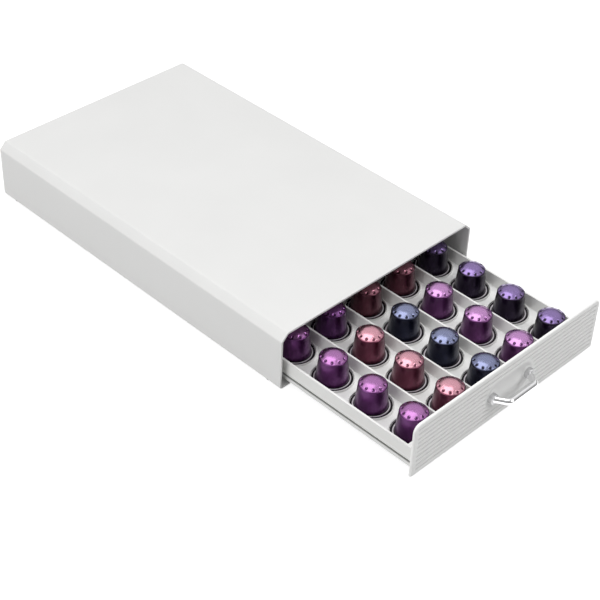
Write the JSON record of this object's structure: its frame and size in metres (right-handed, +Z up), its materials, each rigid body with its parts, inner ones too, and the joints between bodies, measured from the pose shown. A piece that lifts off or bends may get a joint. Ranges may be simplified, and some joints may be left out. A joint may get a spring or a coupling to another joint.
{
  "type": "coffee pod drawer",
  "caption": "Low white steel sleeve with a pull-out grey tray of round pod seats in dividing lanes, a ribbed front panel and a chrome bow handle.",
  "frame": {"origin": "middle of the whole bounding box, on the surface that the four rubber feet stand on, with the drawer open as pictured", "axes": "+X to the right as seen from the front, +Y from the handle to the rear, +Z up; the drawer opens along -Y"},
  "size_m": [0.25, 0.5781, 0.0625],
  "materials": {
    "white_powder_coat": "satin",
    "rail_steel": "satin",
    "screw_steel": "satin",
    "natural_nylon": "satin",
    "foot_rubber": "matte",
    "grey_moulded_plastic": "matte",
    "grey_panel_plastic": "satin",
    "bright_chrome": "polished",
    "pod_violet": "satin",
    "pod_burgundy": "satin",
    "pod_purple": "satin",
    "pod_navy": "satin",
    "pod_red_brown": "satin",
    "pod_plum": "satin",
    "pod_ink": "satin"
  },
  "bodies": {
    "housing": {"sleeve": "white_powder_coat", "rear_panel": "white_powder_coat", "rear_panel_screws": "screw_steel", "guide_rail_left": "rail_steel", "guide_rail_right": "rail_steel", "rail_stop_left": "natural_nylon", "rail_stop_right": "natural_nylon", "foot_front_left": "foot_rubber", "foot_front_right": "foot_rubber", "foot_rear_left": "foot_rubber", "foot_rear_right": "foot_rubber"},
    "drawer": {"tray": "grey_moulded_plastic", "front_panel": "grey_panel_plastic", "front_panel_screws": "screw_steel", "handle": "bright_chrome", "handle_screws": "screw_steel", "pod_lane1_row1": "pod_violet", "pod_lane1_row2": "pod_violet", "pod_lane1_row3": "pod_violet", "pod_lane1_row4": "pod_violet", "pod_lane2_row1": "pod_burgundy", "pod_lane2_row2": "pod_burgundy", "pod_lane2_row3": "pod_burgundy", "pod_lane2_row4": "pod_purple", "pod_lane3_row1": "pod_navy", "pod_lane3_row2": "pod_navy", "pod_lane3_row3": "pod_navy", "pod_lane3_row4": "pod_red_brown", "pod_lane4_row1": "pod_plum", "pod_lane4_row2": "pod_plum", "pod_lane4_row3": "pod_plum", "pod_lane4_row4": "pod_red_brown", "pod_lane5_row1": "pod_ink", "pod_lane5_row2": "pod_ink", "pod_lane5_row3": "pod_ink", "pod_lane5_row4": "pod_ink"}
  },
  "joints": [
    {"name": "drawer_slide", "type": "slide", "parent": "housing", "child": "drawer", "axis": [0, -1, 0], "range_m": [-0.15, 0.1854]}
  ]
}
